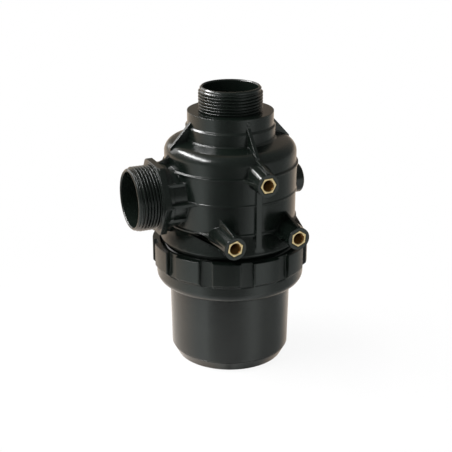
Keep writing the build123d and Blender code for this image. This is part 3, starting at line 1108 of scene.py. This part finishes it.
# %% World
CAMERA_AZIMUTH = -24.0  # degrees, from straight in front round to the left
WARM, PLAIN = "#FFEBD6", "#F7FFFB"
FULL_LEVEL = 1.1
LOW_LEVELS = (
    (-150, 1.00, WARM),
    (-103, 1.10, WARM),
    (-63, 0.90, PLAIN),
    (-47, 1.10, PLAIN),
    (-38, 0.50, PLAIN),
    (-25, 0.20, PLAIN),
    (0, 0.10, PLAIN),
    (20, 0.25, PLAIN),
    (33, 0.60, PLAIN),
    (45, 0.95, PLAIN),
    (55, 0.80, PLAIN),
    (70, 0.40, PLAIN),
    (100, 0.30, PLAIN),
    (120, 0.40, PLAIN),
    (145, 0.90, WARM),
    (180, 1.00, WARM),
)
HIGH_LEVELS = (
    (-150, 0.28, WARM),
    (-60, 0.32, PLAIN),
    (0, 0.15, PLAIN),
    (60, 0.17, PLAIN),
    (120, 0.20, PLAIN),
    (180, 0.28, WARM),
)


def strip_of_levels(tree, place, levels):
    """A background whose light is laid round the horizon by bearing, level and tint."""
    ramp = add_node(tree, "ShaderNodeValToRGB", {"Fac": place})
    stops = ramp.color_ramp.elements
    stops.remove(stops[1])
    for count, (bearing, level, tint) in enumerate(levels):
        position = ((bearing + CAMERA_AZIMUTH) / 360 + 0.5) % 1.0
        stop = stops.new(position) if count else stops[0]
        stop.position = position
        stop.color = tuple(c * level / FULL_LEVEL for c in to_linear(tint)[:3]) + (1.0,)
    strip = {"Color": ramp.outputs["Color"], "Strength": FULL_LEVEL}
    return add_node(tree, "ShaderNodeBackground", strip).outputs[0]


world = bpy.data.worlds.new("studio_room")
bpy.context.scene.world = world
world.use_nodes = True
tree = world.node_tree
tree.nodes.clear()
rays = add_node(tree, "ShaderNodeLightPath")
way = add_node(tree, "ShaderNodeTexCoord").outputs["Generated"]
toward = add_node(tree, "ShaderNodeSeparateXYZ", {0: way})
forward = add_node(tree, "ShaderNodeMath", {0: toward.outputs["Y"], 1: -1.0}, operation="MULTIPLY")
bearing = add_node(
    tree, "ShaderNodeMath", {0: toward.outputs["X"], 1: forward.outputs[0]}, operation="ARCTAN2"
)
place = add_node(
    tree,
    "ShaderNodeMapRange",
    {
        "Value": bearing.outputs[0],
        "From Min": -math.pi,
        "From Max": math.pi,
        "To Min": 0.0,
        "To Max": 1.0,
    },
).outputs["Result"]
above_horizon = add_node(
    tree,
    "ShaderNodeMapRange",
    {
        "Value": toward.outputs["Z"],
        "From Min": -0.05,
        "From Max": 0.12,
        "To Min": 0.0,
        "To Max": 1.0,
    },
    interpolation_type="SMOOTHSTEP",
).outputs["Result"]
low_strip = strip_of_levels(tree, place, LOW_LEVELS)
high_strip = strip_of_levels(tree, place, HIGH_LEVELS)
print("bearings in the room:", len(LOW_LEVELS), "low and", len(HIGH_LEVELS), "high")

# %% [markdown]
# Light Path sorts the rays. What is seen directly is plain white, at a strength of 1. What glossy
# surfaces mirror is the two strips. All other rays, which light the matt side of things, meet an
# even grey light.

# %% Three kinds of rays
mirrored = add_node(tree, "ShaderNodeMixShader", {0: above_horizon, 1: low_strip, 2: high_strip})
lit = add_node(tree, "ShaderNodeBackground", {"Color": (1.0, 1.0, 1.0, 1.0), "Strength": 0.55})
white = add_node(tree, "ShaderNodeBackground", {"Color": (1.0, 1.0, 1.0, 1.0), "Strength": 1.0})
unseen = add_node(
    tree,
    "ShaderNodeMixShader",
    {0: rays.outputs["Is Glossy Ray"], 1: lit.outputs[0], 2: mirrored.outputs[0]},
)
room = add_node(
    tree,
    "ShaderNodeMixShader",
    {0: straight_or_through(tree, rays), 1: unseen.outputs[0], 2: white.outputs[0]},
)
add_node(tree, "ShaderNodeOutputWorld", {"Surface": room.outputs[0]})
print("studio floor and world ready")

# %% [markdown]
# ## Lamps and camera
#
# One long, narrow soft box hangs high at the left, a little behind the object. It is the bright band
# on the shoulder. A weaker panel stands lower, behind, and draws the light line along the upper left
# of each boss and of the threads. The camera's place was found by matching the rings, ports and
# bosses of the frame to their places in the photograph: 0.8 m away, 24 degrees round to the left and
# 20 degrees up. Its focal length and its shift were measured in pixels of that photograph.

# %% Lamps
LAMP_AIM = Vector((0, 0, 0.12))


def soft_box(name, place, width, height, power):
    """A rectangular lamp at a place, turned to the middle of the object."""
    bpy.ops.object.light_add(type="AREA", location=place)
    lamp = bpy.context.object
    lamp.name = name
    lamp.data.shape = "RECTANGLE"
    lamp.data.size = width
    lamp.data.size_y = height
    lamp.data.energy = power
    lamp.rotation_euler = (LAMP_AIM - Vector(place)).to_track_quat("-Z", "Y").to_euler()


soft_box("key_soft_box", (-0.64, 0.24, 0.86), 1.15, 0.16, 18.0)
soft_box("back_panel", (-0.36, 0.86, 0.50), 0.60, 0.42, 1.6)

# %% Camera
CAMERA_ELEVATION, CAMERA_ROLL = 20.2, 0.22  # degrees
CAMERA_DISTANCE = 0.8
PHOTO_WIDTH = 452  # pixels
FOCAL_PIXELS = 1046.1
SHIFT_PIXELS = (-4.06, -10.0)
SENSOR_WIDTH = 36  # mm
target = Vector((0, 0, 0.110))
azimuth, elevation = math.radians(CAMERA_AZIMUTH), math.radians(CAMERA_ELEVATION)
back = Vector(
    (
        math.sin(azimuth) * math.cos(elevation),
        -math.cos(azimuth) * math.cos(elevation),
        math.sin(elevation),
    )
)
bpy.ops.object.camera_add(location=target + back * CAMERA_DISTANCE)
camera = bpy.context.object
level = Euler((math.radians(90) - elevation, 0, azimuth)).to_matrix()
camera.rotation_euler = (level @ Matrix.Rotation(math.radians(CAMERA_ROLL), 3, "Z")).to_euler()
camera.data.sensor_width = SENSOR_WIDTH
camera.data.lens = FOCAL_PIXELS / PHOTO_WIDTH * SENSOR_WIDTH
camera.data.shift_x = SHIFT_PIXELS[0] / PHOTO_WIDTH
camera.data.shift_y = SHIFT_PIXELS[1] / PHOTO_WIDTH
camera.data.clip_start = 0.05
camera.data.clip_end = 50
bpy.context.scene.camera = camera
bpy.context.scene.view_settings.view_transform = "Standard"
print("camera at", [round(v, 3) for v in camera.location], "lens", round(camera.data.lens, 1))
